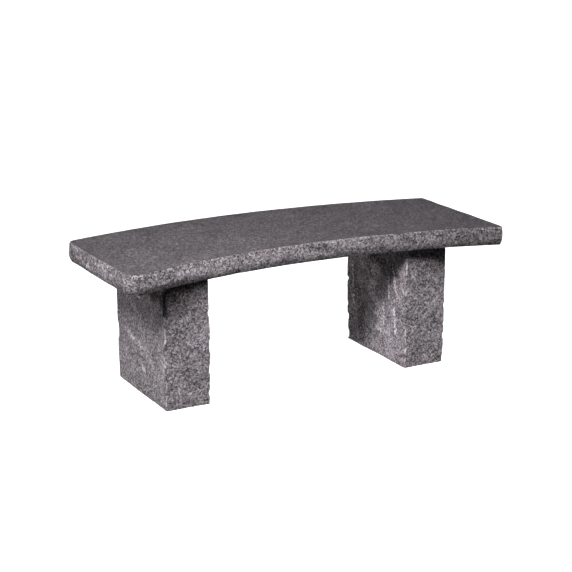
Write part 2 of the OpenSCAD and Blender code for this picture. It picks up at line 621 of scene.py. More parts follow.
@dataclass(frozen=True)
class SplitRelief:
    """Relief of a hand-split face: slow waves, lumps, small broken facets and standing grains.

    Each layer is given as its size and its depth, in metres. The broken layers have their own
    roughness, the step from one octave's size to the next, and the number of octaves.
    """

    wave: Span
    lump: Span
    facet: Span
    grain: Span
    seed: float
    seed_spread: Triple = (1.0, 1.7, 2.3)
    lump_octaves: tuple[float, float, int] = (0.7, 2.2, 3)
    grain_octaves: tuple[float, float, int] = (0.6, 2.1, 2)
    facet_bend: float = 0.4
    tilt_scatter: float = 7.3
    lump_tone: float = 0.5
    facet_tone: float = 0.6
    grain_tone: float = 0.5

    def layers(self, point: Vector) -> Span:
        """Height and tone of the face at a point.

        Args:
            point: Place on the face before it has any relief.

        Returns:
            The height outwards in metres, and a tone that runs from -1, painted shade in low spots, to 1,
            bruising on raised spots.
        """
        start = Vector([share * self.seed for share in self.seed_spread])
        wave = noise.noise(point / self.wave[0] + start) * self.wave[1]
        lump = noise.fractal(point / self.lump[0] + start, *self.lump_octaves)
        facet = self._facet(point, start)
        grain = noise.fractal(point / self.grain[0] + start, *self.grain_octaves)
        # Low spots get painted shade and raised spots get bruising.
        tone = self.lump_tone * lump + self.facet_tone * facet + self.grain_tone * grain
        height = wave + lump * self.lump[1] + facet * self.facet[1] + grain * self.grain[1]
        return height, min(max(tone, -1.0), 1.0)

    def _facet(self, point: Vector, start: Vector) -> float:
        """Level of a flat broken facet, each tilted its own way, at a point.

        Args:
            point: Place on the face before it has any relief.
            start: Where the noise starts.

        Returns:
            The level, from about -1 to 1.
        """
        here = point / self.facet[0]
        bent = here + 2.0 * start + noise.noise_vector(here + start) * self.facet_bend
        _, middles = noise.voronoi(bent)
        tilt = noise.cell_vector(middles[0] * self.tilt_scatter) - Vector((0.5, 0.5, 0.5))
        return 2.0 * tilt.dot(bent - middles[0])


@dataclass(frozen=True)
class Mark:
    """Scratch, bite or bruising along a short line on a stone; some marks are strokes of painted shade and
    painted light.

    Places and sizes are in millimetres. The tone is below 0 for painted shade and above 0 for light: stone
    whitened by crushing on most marks, painted highlight and painted light on a few. The bite is how deep
    the mark cuts. The other fields are the same for every mark: how many widths away it ends, the span of
    widths over which its edge fades, and the sizes of the breaks in its edge and of the flecks in it.
    """

    start: Triple
    end: Triple
    width: float
    tone: float
    bite: float = 0.0
    ragged: float = 0.6
    reach: float = 1.6
    fade: Span = (0.2, 0.75)
    break_size: float = 0.8
    fleck_size: Triple = (3.4, 3.4, 7.5)
    fleck_fade: Span = (-0.05, 0.3)
    fleck_gain: float = 1.6

    def at(self, point: Vector, base: Vector) -> Span:
        """What the mark does at a point.

        Args:
            point: Place on the stone.
            base: Place that the mark is measured from.

        Returns:
            How deep it cuts in metres, and the tone that it adds.
        """
        here = (point - base) / MM
        start, line = Vector(self.start), Vector(self.end) - Vector(self.start)
        along = min(max((here - start).dot(line) / max(line.length_squared, 1.0), 0.0), 1.0)
        gap = (here - start - line * along).length / self.width
        if gap > self.reach:
            return 0.0, 0.0
        broken = noise.noise(here / (self.break_size * self.width) + start) * self.ragged
        share = 1.0 - smooth_step(*self.fade, gap + broken)
        flecked = Vector([value / size for value, size in zip(here, self.fleck_size)])
        fleck = self.fleck_gain * smooth_step(*self.fleck_fade, noise.noise(flecked + start))
        return self.bite * MM * share, self.tone * share * (1.0 + (fleck - 1.0) * min(self.ragged, 1.0))


def marked(marks: Sequence[Mark], point: Vector, base: Vector) -> Span:
    """Sums what several marks do at a point.

    Args:
        marks: The marks.
        point: Place on the stone.
        base: Place that the marks are measured from.

    Returns:
        How deep they cut in metres, and the tone that they add.
    """
    cuts, tones = 0.0, 0.0
    for mark in marks:
        cut, tone = mark.at(point, base)
        cuts += cut
        tones += tone
    return cuts, tones


# ---------------------------------------------------------------- upright bodies


@dataclass(frozen=True)
class Station:
    """One point of an outline in plan.

    Its outward direction may lean to the diagonal near a corner. The corner gap is how far the
    nearest corner is along the outline.
    """

    point: Vector
    outward: Vector
    corner_gap: float = 0.0

    def mirrored(self) -> "Station":
        """The same station on the bench's other half.

        Returns:
            That station.
        """
        point, outward = self.point, self.outward
        return Station(Vector((-point.x, point.y)), Vector((-outward.x, outward.y)), self.corner_gap)

    def moved(self, shift: Vector) -> "Station":
        """The same station moved in plan."""
        return Station(self.point + shift, self.outward, self.corner_gap)


@dataclass(frozen=True)
class Rod:
    """Upright round CAD node: the middle of its box, its radius and its two levels."""

    middle: Vector
    radius: float
    low_z: float
    high_z: float

    @classmethod
    def of_node(cls, node: str) -> "Rod":
        """Reads the rod from a CAD node's box.

        Args:
            node: Name of the node.

        Returns:
            The rod.
        """
        low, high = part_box(node)
        return cls((low + high) / 2, (high.x - low.x) / 2, low.z, high.z)

    def at(self, level: float) -> Vector:
        """Point of its axis at a level."""
        return Vector((self.middle.x, self.middle.y, level))


def pin_name(side: Side, place: PinPlace, part: PinPart) -> str:
    """Name of the node or the piece that is one part of one pin."""
    return f"{side.value}_{place.value}_{part.value}"


@dataclass(frozen=True)
class Bore:
    """Round hole that runs from the middle of its mouth to a level inside a body or right through it."""

    mouth: Vector
    radius: float
    end_z: float
    cap: Cap
    through: bool = False


@dataclass
class Drum:
    """Upright closed body, made as a plain drum and then laid over an outline.

    In the drum, the angle from +Y is a station on the outline, the height is the share of the wall,
    and each ring of a cap lies one ring step nearer the axis.
    """

    stations: int
    courses: int
    rings: int
    bores: Sequence[Bore] = ()
    bore_segments: int = 40
    ring_step: float = 0.01
    mesh: bmesh.types.BMesh = field(init=False)
    rims: dict[Cap, Edges] = field(init=False, default_factory=dict)

    def __post_init__(self) -> None:
        """Makes the drum's wall, one unit high, and the rings of its caps."""
        self.mesh = bmesh.new()
        # Tones that follow the surface: light for crushing and painted highlights, dark for painted shade.
        self.mesh.verts.layers.float.new("bruise_and_highlight")
        self.mesh.verts.layers.float.new("hollow")
        bmesh.ops.create_circle(self.mesh, segments=self.stations, radius=1.0)
        base = list(self.mesh.edges)
        top = self._extruded(base)
        bmesh.ops.translate(self.mesh, vec=(0.0, 0.0, 1.0), verts=_ends(top))
        circles = {*base, *top}
        rungs = [edge for edge in self.mesh.edges if edge not in circles]
        bmesh.ops.subdivide_edges(self.mesh, edges=rungs, cuts=self.courses - 1, use_grid_fill=True)
        for cap, edges in ((Cap.BOTTOM, base), (Cap.TOP, top)):
            for ring in range(self.rings):
                shrink = (1.0 - (ring + 1) * self.ring_step) / (1.0 - ring * self.ring_step)
                edges = self._extruded(edges)
                bmesh.ops.scale(self.mesh, vec=(shrink, shrink, 1.0), verts=_ends(edges))
            self.rims[cap] = edges

    def _extruded(self, edges: Edges) -> Edges:
        """Extrudes edges without moving them.

        Args:
            edges: The edges.

        Returns:
            The new edges that lie along them.
        """
        made = bmesh.ops.extrude_edge_only(self.mesh, edges=edges)["geom"]
        verts = {item for item in made if isinstance(item, bmesh.types.BMVert)}
        return [item for item in made if isinstance(item, bmesh.types.BMEdge) and set(item.verts) <= verts]

    def lay(self, where: Callable[[int, float, int], tuple[Vector, float]]) -> None:
        """Moves every vertex of the drum to its place on the body.

        Args:
            where: Gives the place and the tone for a station, a share of the wall's height and a
                ring, which is 0 on the wall.
        """
        bruise_and_highlight = self.mesh.verts.layers.float["bruise_and_highlight"]
        hollow = self.mesh.verts.layers.float["hollow"]
        for vert in self.mesh.verts:
            turn = math.atan2(-vert.co.x, vert.co.y) / math.tau
            station = round(turn * self.stations) % self.stations
            ring = round((1.0 - math.hypot(vert.co.x, vert.co.y)) / self.ring_step)
            place, tone = where(station, vert.co.z, ring)
            vert.co = place
            vert[bruise_and_highlight] = max(tone, 0.0)
            vert[hollow] = max(-tone, 0.0)

    def close(self) -> None:
        """Cuts the bores, fills both caps round them and turns every face outwards.

        The fill takes points that lie very close together for one, so it is done with the body
        measured in millimetres.
        """
        outlines = {cap: list(rim) for cap, rim in self.rims.items()}
        for bore in self.bores:
            mouth, end = self._sink(bore)
            outlines[bore.cap] += mouth
            if bore.through:
                outlines[bore.cap.opposite] += end
            else:
                bmesh.ops.edgeloop_fill(self.mesh, edges=end)
        bmesh.ops.scale(self.mesh, vec=Vector((1.0, 1.0, 1.0)) / MM, verts=list(self.mesh.verts))
        for outline in outlines.values():
            bmesh.ops.triangle_fill(self.mesh, use_beauty=True, edges=outline, normal=(0.0, 0.0, 1.0))
        bmesh.ops.scale(self.mesh, vec=Vector((1.0, 1.0, 1.0)) * MM, verts=list(self.mesh.verts))
        bmesh.ops.recalc_face_normals(self.mesh, faces=list(self.mesh.faces))
        open_edges = sum(len(edge.link_faces) != 2 for edge in self.mesh.edges)
        if open_edges:
            log.warning("a body was left with %d open edges", open_edges)

    def _sink(self, bore: Bore) -> tuple[Edges, Edges]:
        """Makes the wall of a bore.

        Args:
            bore: The bore.

        Returns:
            The edges of its mouth and those of its end.
        """
        spot = Matrix.Translation(bore.mouth)
        segments, radius = self.bore_segments, bore.radius
        ring = bmesh.ops.create_circle(self.mesh, segments=segments, radius=radius, matrix=spot)
        verts = set(ring["verts"])
        mouth = [edge for edge in self.mesh.edges if set(edge.verts) <= verts]
        end = self._extruded(mouth)
        bmesh.ops.translate(self.mesh, vec=(0.0, 0.0, bore.end_z - bore.mouth.z), verts=_ends(end))
        return mouth, end


def _ends(edges: Edges) -> list[bmesh.types.BMVert]:
    """Every vertex of some edges, once each."""
    return list({vert: None for edge in edges for vert in edge.verts})


def into_piece(
    mesh: bmesh.types.BMesh, name: str, materials: Sequence[bpy.types.Material], node: str
) -> bpy.types.Object:
    """Turns a finished bmesh into a piece of the bench that stands for a CAD node.

    Args:
        mesh: The finished mesh, which is freed.
        name: Name of the piece.
        materials: Its materials, in the order that its faces count them.
        node: The CAD node that it stands for.

    Returns:
        The new object, riding on the bench's one body.
    """
    for edge in mesh.edges:
        edge.smooth = edge.calc_face_angle(0.0) < SHARP_ANGLE
    for face in mesh.faces:
        face.smooth = True
    data = bpy.data.meshes.new(name)
    mesh.to_mesh(data)
    mesh.free()
    for material in materials:
        data.materials.append(material)
    piece = bpy.data.objects.new(name, data)
    bpy.context.scene.collection.objects.link(piece)
    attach(piece, BODY)
    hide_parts(node)
    log.info("%s: %d faces", name, len(data.polygons))
    return piece


# ---------------------------------------------------------------- the seat


def plan_ray(angle: float) -> Vector:
    """Direction in plan at an angle in radians from +Y towards +X."""
    return Vector((math.sin(angle), math.cos(angle)))


@dataclass(frozen=True)
class Corner:
    """Rounded corner of the seat's outline, placed by its distance and angle from the arcs' centre."""

    radius: float
    away: float
    angle: float

    @property
    def middle(self) -> Vector:
        """Middle of the corner's own small arc."""
        return Vector((self.away * math.sin(self.angle), self.away * math.cos(self.angle)))

    def stations(self, first: float, last: float, steps: int) -> list[Station]:
        """Stations round the corner.

        Args:
            first: Direction of the first station from the middle.
            last: Direction of the last.
            steps: Number of steps between them.

        Returns:
            The stations.
        """
        rays = [plan_ray(first + (last - first) * index / steps) for index in range(steps + 1)]
        return [Station(self.middle + self.radius * ray, ray) for ray in rays]


@dataclass(frozen=True)
class SeatPlan:
    """Outline of the seat in plan: two arcs about one centre, joined by two nearly parallel ends."""

    half_length: float
    back_y: float
    front_radius: float = 1.860
    depth: float = 0.430
    end_lean: float = math.radians(0.9)
    right_corners: Span = (8.0 * MM, 8.0 * MM)
    left_corners: Span = (33.0 * MM, 28.0 * MM)
    least_radius: float = 0.5 * MM
    step: float = 2.1 * MM
    corner_steps: int = 14

    @property
    def back_radius(self) -> float:
        """Radius of the rounded back edge."""
        return self.front_radius + self.depth

    @property
    def centre_y(self) -> float:
        """Y of the centre of both arcs."""
        return self.back_y - self.back_radius

    @property
    def end_distance(self) -> float:
        """Distance from the arcs' centre to the line of an end face."""
        return self.back_radius * math.sin(math.asin(self.half_length / self.back_radius) - self.end_lean)

    def _corner(self, inset: float, front: bool, radius: float) -> Corner:
        """Places a corner of the outline's right half.

        Args:
            inset: How far inside the arris line the outline lies.
            front: Whether it is the front corner.
            radius: Radius of the corner at the arris line.

        Returns:
            The corner.
        """
        size = max(radius - inset, self.least_radius)
        away = self.front_radius + inset + size if front else self.back_radius - inset - size
        angle = self.end_lean + math.asin((self.end_distance - inset - size) / away)
        return Corner(size, away, angle)

    def _steps(self, front: bool, radius: float) -> int:
        """Number of steps along half of an arc, the same for every inset.

        Args:
            front: Whether the arc is the front one.
            radius: Radius of its corner at the arris line.

        Returns:
            That number.
        """
        corner = self._corner(0.0, front, radius)
        return round(corner.angle * corner.away / self.step)

    def _half(self, inset: float, corners: Span) -> list[Station]:
        """Right half of the outline, from the middle of the front edge to the middle of the back.

        Args:
            inset: How far inside the arris line the outline lies.
            corners: Radii of the front and the back corner at the arris line.

        Returns:
            The stations.
        """
        front, back = self._corner(inset, True, corners[0]), self._corner(inset, False, corners[1])
        made: list[Station] = []
        full = self._steps(True, corners[0])
        for index in range(full):
            angle = front.angle * index / full
            ray = plan_ray(angle)
            gap = (front.angle - angle) * self.front_radius
            made.append(Station(ray * (self.front_radius + inset), -ray, gap))
        end_way = math.pi / 2 + self.end_lean
        made += front.stations(front.angle + math.pi, end_way, self.corner_steps)
        start, stop = made[-1].point, back.middle + back.radius * plan_ray(end_way)
        count = round(self.depth / self.step)
        for index in range(1, count):
            share = index / count
            gap = min(share, 1.0 - share) * (stop - start).length
            made.append(Station(start.lerp(stop, share), plan_ray(end_way), gap))
        made += back.stations(end_way, back.angle, self.corner_steps)
        full = self._steps(False, corners[1])
        for index in range(1, full):
            angle = back.angle * (1.0 - index / full)
            ray = plan_ray(angle)
            gap = (back.angle - angle) * self.back_radius
            made.append(Station(ray * (self.back_radius - inset), ray, gap))
        return made

    def outline(self, inset: float = 0.0) -> list[Station]:
        """Whole outline at a distance inside the arris line.

        Args:
            inset: That distance, in metres.

        Returns:
            The stations, always the same number of them.
        """
        right, left = self._half(inset, self.right_corners), self._half(inset, self.left_corners)
        middle = Station(plan_ray(0.0) * (self.back_radius - inset), plan_ray(0.0), self.half_length)
        mirrored = [spot.mirrored() for spot in reversed(left[1:])]
        shift = Vector((0.0, self.centre_y))
        return [spot.moved(shift) for spot in (*right, middle, *mirrored)]


@dataclass
class SeatSlab:
    """Arc-shaped slab with a ground top, rock-pitched edges and a sawn underside.

    The edge's section runs from the arris out to a ridge, and below the ridge in past the arris
    again. The ridge's level, the swell and the undercut drift along the edge, each by its own
    share. The relief of the edge is calmer near the top and the bottom.
    """

    finish_top: Granite
    finish_edge: Granite
    finish_under: Granite
    marks: Sequence[Mark] = ()
    node: str = "seat_slab"
    swell: float = 4.0 * MM
    swell_share: float = 0.9
    swell_drift: float = 0.7
    undercut: float = 2.6 * MM
    undercut_drift: float = 0.8
    undercut_power: float = 1.8
    ridge_share: float = 0.4
    ridge_drift: float = 0.2
    section_drift: Drift = Drift(0.11, (9.1, 4.2, 0.0))
    swell_pattern: Drift = Drift(0.07, (2.7, 8.8, 1.0))
    wander: float = 1.5 * MM
    wander_drifts: tuple[Drift, Drift] = (Drift(0.055), Drift(0.16))
    top_rings: tuple[float, ...] = (0.7 * MM, 2.0 * MM, 4.5 * MM, 9.0 * MM)
    under_rings: tuple[float, ...] = (7.0 * MM, 9.0 * MM, 12.0 * MM, 16.0 * MM)
    corner_reach: float = 40.0 * MM
    calm_top: float = 7.0 * MM
    calm_bottom: float = 9.0 * MM
    calm_share: float = 0.45
    course: float = 2.0 * MM
    pin_end_gap: float = 3.0 * MM
    level_gap: float = 0.1 * MM
    relief: SplitRelief = SplitRelief(
        wave=(0.16, 2.4 * MM), lump=(0.036, 0.9 * MM), facet=(0.011, 0.35 * MM),
        grain=(0.006, 0.35 * MM), seed=3.1,
    )
    low_z: float = field(init=False)
    high_z: float = field(init=False)
    arris: list[Station] = field(init=False)
    outlines: dict[Cap, list[list[Station]]] = field(init=False)

    def build(self) -> bpy.types.Object:
        """Builds the slab and dresses its top, edges and underside.

        Returns:
            The finished piece.
        """
        low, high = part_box(self.node)
        plan = SeatPlan(half_length=high.x - self.swell, back_y=high.y - self.swell)
        self.low_z, self.high_z = low.z, high.z
        self.arris = plan.outline()
        self.outlines = {
            Cap.TOP: [self.arris] + [plan.outline(inset) for inset in self.top_rings],
            Cap.BOTTOM: [self.arris] + [plan.outline(inset) for inset in self.under_rings],
        }
        drum = Drum(
            stations=len(self.arris),
            courses=round((high.z - low.z) / self.course),
            rings=len(self.top_rings),
            bores=[self._pin_hole(side, place) for side in Side for place in PinPlace],
        )
        drum.lay(self._place)
        drum.close()
        finishes = (self.finish_top, self.finish_edge, self.finish_under)
        for face in drum.mesh.faces:
            face.material_index = finishes.index(self._finish_of(face))
        materials = [finish.material() for finish in finishes]
        return into_piece(drum.mesh, "curved_seat", materials, self.node)

    def _pin_hole(self, side: Side, place: PinPlace) -> Bore:
        """Hole in the underside for one pin and its resin, a little deeper than the pin.

        Args:
            side: End of the bench that the pin is at.
            place: Which of the leg's two pins it is.

        Returns:
            The hole.
        """
        resin = Rod.of_node(pin_name(side, place, PinPart.RESIN))
        return Bore(resin.at(self.low_z), resin.radius, resin.high_z + self.pin_end_gap, Cap.BOTTOM)

    def _section(self, share: float, along: Vector) -> float:
        """How far the edge stands out from the arris line at a share of its height.

        Args:
            share: Share of the slab's thickness, 1 at the top.
            along: Point on the arris line, which makes the section drift along the edge.

        Returns:
            The distance outwards, in metres.
        """
        drift = self.section_drift.at(along)
        ridge = self.ridge_share + self.ridge_drift * drift
        swell = self.swell * (self.swell_share + self.swell_drift * self.swell_pattern.at(along))
        if share > ridge:
            part = (share - ridge) / (1.0 - ridge)
            return swell * math.sqrt(max(1.0 - part * part, 0.0))
        part = (ridge - share) / ridge
        undercut = self.undercut * (1.0 + self.undercut_drift * drift)
        return swell - (swell + undercut) * part ** self.undercut_power

    def _place(self, station: int, share: float, ring: int) -> tuple[Vector, float]:
        """Places one vertex of the slab.

        Args:
            station: Number of its station.
            share: Share of the slab's thickness, 1 at the top.
            ring: Ring of the cap that it lies on, 0 on the wall.

        Returns:
            Its place and its tone.
        """
        if ring and not round(share):
            flat = self.outlines[Cap.BOTTOM][ring][station].point
            return Vector((flat.x, flat.y, self.low_z)), 0.0
        arris, spot = self.arris[station], self.outlines[Cap.TOP][ring][station]
        line = arris.point.to_3d()
        sway = sum(drift.at(line) for drift in self.wander_drifts) * self.wander
        sway *= smooth_step(0.0, self.corner_reach, arris.corner_gap)
        flat = spot.point + spot.outward * sway * (1.0 - ring / len(self.top_rings))
        edge = Vector((flat.x, flat.y, self.high_z))
        if ring:
            return edge, 0.0
        thickness = self.high_z - self.low_z
        ground = Vector((flat.x, flat.y, self.low_z + share * thickness))
        height, tone = self.relief.layers(ground)
        near_top = smooth_step(0.0, self.calm_top, (1.0 - share) * thickness)
        near_bottom = smooth_step(0.0, self.calm_bottom, share * thickness)
        calm = near_top * (self.calm_share + (1.0 - self.calm_share) * near_bottom)
        cut, mark_tone = marked(self.marks, ground, Vector())
        out = self._section(share, edge) + height * calm - cut
        return ground + spot.outward.to_3d() * out, tone * near_top + mark_tone

    def _finish_of(self, face: bmesh.types.BMFace) -> Granite:
        """Finish of one face of the slab.

        Args:
            face: The face.

        Returns:
            The top's finish, the underside's, or the edges' where the face isn't on either level.
        """
        level = face.calc_center_median().z
        if face.normal.z > LEVEL and level > self.high_z - self.level_gap:
            return self.finish_top
        if face.normal.z < -LEVEL and level < self.low_z + self.level_gap:
            return self.finish_under
        return self.finish_edge


# ---------------------------------------------------------------- the legs


@dataclass
class StoneLeg:
    """Block leg split on its upright faces and sawn level at its top and bottom.

    Near an upright arris the stone is worn: the relief is calmer, and the arris is nicked and, in places,
    whitened, partly by crushing and partly by a painted highlight.
    """

    side: Side
    finish: Granite
    finish_sawn: Granite
    relief: SplitRelief
    marks: Sequence[Mark] = ()
    swell: float = 2.0 * MM
    arris_radius: float = 1.3 * MM
    arris_steps: int = 4
    least_radius: float = 0.5 * MM
    corner_reach: float = 12.0 * MM
    step: float = 2.3 * MM
    rings: tuple[float, ...] = (1.5 * MM, 4.0 * MM)
    worn_span: Span = (1.5 * MM, 6.0 * MM)
    worn_calm: float = 0.5
    nick_depth: float = 3.5 * MM
    nick_span: Span = (0.05, 0.5)
    nick_drift: Drift = Drift(0.028, (5.0, 1.0, 2.0))
    ridge_span: Span = (0.5 * MM, 2.5 * MM)
    crush_and_highlight_tone: float = 2.4
    crush_and_highlight_span: Span = (-0.15, 0.15)
    crush_and_highlight_drift: Drift = Drift(0.017, (3.0, 7.0, 1.0))
    low: Vector = field(init=False)
    high: Vector = field(init=False)
    outlines: list[list[Station]] = field(init=False)

    def build(self) -> bpy.types.Object:
        """Builds the leg with its pin holes.

        Returns:
            The finished piece.
        """
        node = f"{self.side.value}_leg"
        low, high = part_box(node)
        grow = Vector((self.swell, self.swell, 0.0))
        self.low, self.high = low + grow, high - grow
        self.outlines = [self._outline(inset) for inset in (0.0, *self.rings)]
        drum = Drum(
            stations=len(self.outlines[0]),
            courses=round((high.z - low.z) / self.step),
            rings=len(self.rings),
            bores=[self._pin_hole(place) for place in PinPlace],
        )
        drum.lay(self._place)
        drum.close()
        materials = [self.finish.material(), self.finish_sawn.material()]
        for face in drum.mesh.faces:
            face.material_index = 1 if abs(face.normal.z) > LEVEL else 0
        return into_piece(drum.mesh, f"{self.side.value}_block_leg", materials, node)

    def _pin_hole(self, place: PinPlace) -> Bore:
        """Hole in the leg's top for one pin and its resin.

        Args:
            place: Which of the leg's two pins it is.

        Returns:
            The hole.
        """
        resin = Rod.of_node(pin_name(self.side, place, PinPart.RESIN))
        return Bore(resin.at(self.high.z), resin.radius, resin.low_z, Cap.TOP)

    def _outline(self, inset: float) -> list[Station]:
        """Rectangle in plan with slightly rounded corners, at a distance inside the faces.

        Close to a corner the outward directions lean to the diagonal, so that relief moves a corner
        as a whole and never folds it.

        Args:
            inset: That distance, in metres.

        Returns:
            The stations, always the same number of them.
        """
        margin = Vector((inset, inset, 0.0))
        low, high = self.low + margin, self.high - margin
        radius = max(self.arris_radius - inset, self.least_radius)
        made: list[Station] = []
        corners = ((high.x, low.y), (high.x, high.y), (low.x, high.y), (low.x, low.y))
        for index, corner in enumerate(corners):
            way, before = quarter_turned(index), quarter_turned(index - 1)
            diagonal = way + before
            middle = Vector(corner) - radius * diagonal
            for part in range(self.arris_steps + 1):
                ray = quarter_turned(index - 1 + part / self.arris_steps)
                made.append(Station(middle + radius * ray, diagonal))
            start, forward = made[-1].point, Vector((-way.y, way.x))
            whole = abs((self.high - self.low).to_2d().dot(forward))
            inner = whole - 2.0 * inset - 2.0 * radius
            count = round(whole / self.step)
            for part in range(1, count):
                along = inner * part / count
                gap = min(along, inner - along)
                lean = 1.0 - smooth_step(0.0, self.corner_reach, gap)
                outward = way + forward * math.copysign(lean, along - inner / 2)
                made.append(Station(start + forward * along, outward, gap))
        return made

    def _place(self, station: int, share: float, ring: int) -> tuple[Vector, float]:
        """Places one vertex of the leg.

        Args:
            station: Number of its station.
            share: Share of the leg's height, 1 at the top.
            ring: Ring of the cap that it lies on, 0 on the wall.

        Returns:
            Its place and its tone.
        """
        face, spot = self.outlines[0][station], self.outlines[ring][station]
        level = self.low.z + share * (self.high.z - self.low.z)
        ground = Vector((face.point.x, face.point.y, level))
        height, tone = self.relief.layers(ground)
        cut, mark_tone = marked(self.marks, ground, self.low)
        worn = 1.0 - smooth_step(*self.worn_span, face.corner_gap)
        nick = smooth_step(*self.nick_span, self.nick_drift.at(ground)) * worn * self.nick_depth
        belly = self.swell * math.sin(math.pi * share)
        out = belly + height * (1.0 - self.worn_calm * worn) - cut - nick
        # Light line along the arris: a painted highlight, partly standing for whitening by crushing.
        ridge = 1.0 - smooth_step(*self.ridge_span, face.corner_gap)
        crush_and_highlight = smooth_step(*self.crush_and_highlight_span, self.crush_and_highlight_drift.at(ground)) * ridge
        tone = tone * (1.0 - worn) + self.crush_and_highlight_tone * crush_and_highlight + mark_tone
        place = Vector((spot.point.x, spot.point.y, level)) + spot.outward.to_3d() * out
        return place, 0.0 if ring else tone


def quarter_turned(turns: float) -> Vector:
    """Direction in plan at a number of quarter turns from +X towards +Y."""
    return Vector((math.cos(math.radians(90.0 * turns)), math.sin(math.radians(90.0 * turns))))


# ---------------------------------------------------------------- pins and setting


@dataclass
class SettingBed:
    """Bed of setting compound between a leg and the slab, squeezed out unevenly at its edge."""

    side: Side
    finish: Putty
    stations: int = 420
    courses: int = 4
    ring: float = 1.5 * MM
    spacer_radius: float = 10.0 * MM
    wander: float = 1.6 * MM
    wander_drift: Drift = Drift(0.018)
    bulge: float = 0.9 * MM
    low: Vector = field(init=False)
    high: Vector = field(init=False)

    def build(self) -> bpy.types.Object:
        """Builds the bed with its openings for pins and spacers.

        Returns:
            The finished piece.
        """
        node = f"{self.side.value}_setting_bed"
        self.low, self.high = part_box(node)
        drum = Drum(stations=self.stations, courses=self.courses, rings=1, bores=self._openings())
        drum.lay(self._place)
        drum.close()
        name, materials = f"{self.side.value}_bed_joint", [self.finish.material()]
        return into_piece(drum.mesh, name, materials, node)

    def _openings(self) -> list[Bore]:
        """Openings that the pins and the spacers pass through.

        Returns:
            The openings.
        """
        resins = [Rod.of_node(pin_name(self.side, place, PinPart.RESIN)) for place in PinPlace]
        spots = [(resin.middle, resin.radius) for resin in resins]
        low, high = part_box(f"{self.side.value}_spacers")
        radius = self.spacer_radius
        for x in (low.x + radius, high.x - radius):
            for y in (low.y + radius, high.y - radius):
                spots.append((Vector((x, y)), radius))
        return [
            Bore(Vector((middle.x, middle.y, self.low.z)), size, self.high.z, Cap.BOTTOM, through=True)
            for middle, size in spots
        ]

    def _place(self, station: int, share: float, ring: int) -> tuple[Vector, float]:
        """Places one vertex of the bed, on a rectangle whose edge wanders and bulges.

        Args:
            station: Number of its station.
            share: Share of the bed's height, 1 at the top.
            ring: Ring of the cap that it lies on, 0 on the wall.

        Returns:
            Its place, and 0 for its tone.
        """
        angle = math.tau * station / self.stations
        way = Vector((math.cos(angle), math.sin(angle), 0.0))
        half, middle = (self.high - self.low) / 2, (self.high + self.low) / 2
        reach = max(abs(math.cos(angle)), abs(math.sin(angle)))
        flat = middle + Vector((math.cos(angle) / reach * half.x, math.sin(angle) / reach * half.y, 0.0))
        flat.z = self.low.z + share * (self.high.z - self.low.z)
        wander = self.wander_drift.at(flat) * self.wander + self.bulge * (math.sin(math.pi * share) - 1.0)
        return flat + way * (wander - self.ring * ring), 0.0


@dataclass
class RibbedPin:
    """Stainless bar with two rows of slanting ribs, its ends sawn and chamfered."""

    side: Side
    place: PinPlace
    finish: PinSteel
    segments: int = 32
    courses: int = 90
    rings: tuple[float, ...] = (0.8 * MM, 3.0 * MM)
    rib_pitch: float = 7.0 * MM
    rib_depth: float = 0.5 * MM
    rib_span: Span = (0.1, 0.75)
    rib_spread: float = 2.2
    chamfer: float = 0.9 * MM
    rod: Rod = field(init=False)

    def build(self) -> bpy.types.Object:
        """Builds the pin from a drum whose wall carries the ribs.

        Returns:
            The finished piece.
        """
        node = pin_name(self.side, self.place, PinPart.DOWEL)
        self.rod = Rod.of_node(node)
        drum = Drum(stations=self.segments, courses=self.courses, rings=len(self.rings))
        drum.lay(self._vertex)
        drum.close()
        name, materials = pin_name(self.side, self.place, PinPart.PIN), [self.finish.material()]
        return into_piece(drum.mesh, name, materials, node)

    def _vertex(self, station: int, share: float, ring: int) -> tuple[Vector, float]:
        """Places one vertex of the pin.

        Args:
            station: Number of its station.
            share: Share of the pin's length, 1 at the top.
            ring: Ring of the end that it lies on, 0 on the wall.

        Returns:
            Its place, and 0 for its tone.
        """
        angle = math.tau * station / self.segments
        length = self.rod.high_z - self.rod.low_z
        level = self.rod.low_z + share * length
        row = math.copysign(1.0, math.sin(angle))
        phase = (level / self.rib_pitch + row * angle / math.pi) * math.tau
        flank = min(abs(math.sin(angle)) * self.rib_spread, 1.0)
        rib = smooth_step(*self.rib_span, math.sin(phase)) * flank
        end_gap = min(share, 1.0 - share) * length
        reach = self.rod.radius - self.rib_depth * (1.0 - rib) - max(self.chamfer - end_gap, 0.0)
        reach -= (0.0, *self.rings)[ring]
        axis = self.rod.middle
        return Vector((axis.x + reach * math.cos(angle), axis.y + reach * math.sin(angle), level)), 0.0


# ---------------------------------------------------------------- studio


def direction(azimuth: float, elevation: float) -> Vector:
    """Direction from the bench to a place round it.

    Args:
        azimuth: Degrees from the front, positive towards the bench's right.
        elevation: Degrees above the ground.

    Returns:
        A direction of length 1.
    """
    turn, rise = math.radians(azimuth), math.radians(elevation)
    return Vector((math.sin(turn) * math.cos(rise), -math.cos(turn) * math.cos(rise), math.sin(rise)))


@dataclass(frozen=True)
class SoftBox:
    """Square soft light, invisible to the camera.

    The spread in degrees is that of a grid on its front, and the light is aimed aside of the
    bench's middle along X.
    """

    name: str
    azimuth: float
    elevation: float
    distance: float
    size: float
    power: float
    spread: float = 180.0
    aside: float = 0.0

    def build(self, aim: Vector) -> None:
        """Hangs the light and turns it to a point.

        Args:
            aim: Point that it faces.
        """
        lamp = bpy.data.lights.new(self.name, "AREA")
        lamp.shape = "SQUARE"
        lamp.size = self.size
        lamp.energy = self.power
        lamp.spread = math.radians(self.spread)
        light = bpy.data.objects.new(self.name, lamp)
        way = direction(self.azimuth, self.elevation)
        light.location = aim + Vector((self.aside, 0.0, 0.0)) + way * self.distance
        light.rotation_euler = way.to_track_quat("Z", "Y").to_euler()
        light.visible_camera = False
        bpy.context.scene.collection.objects.link(light)


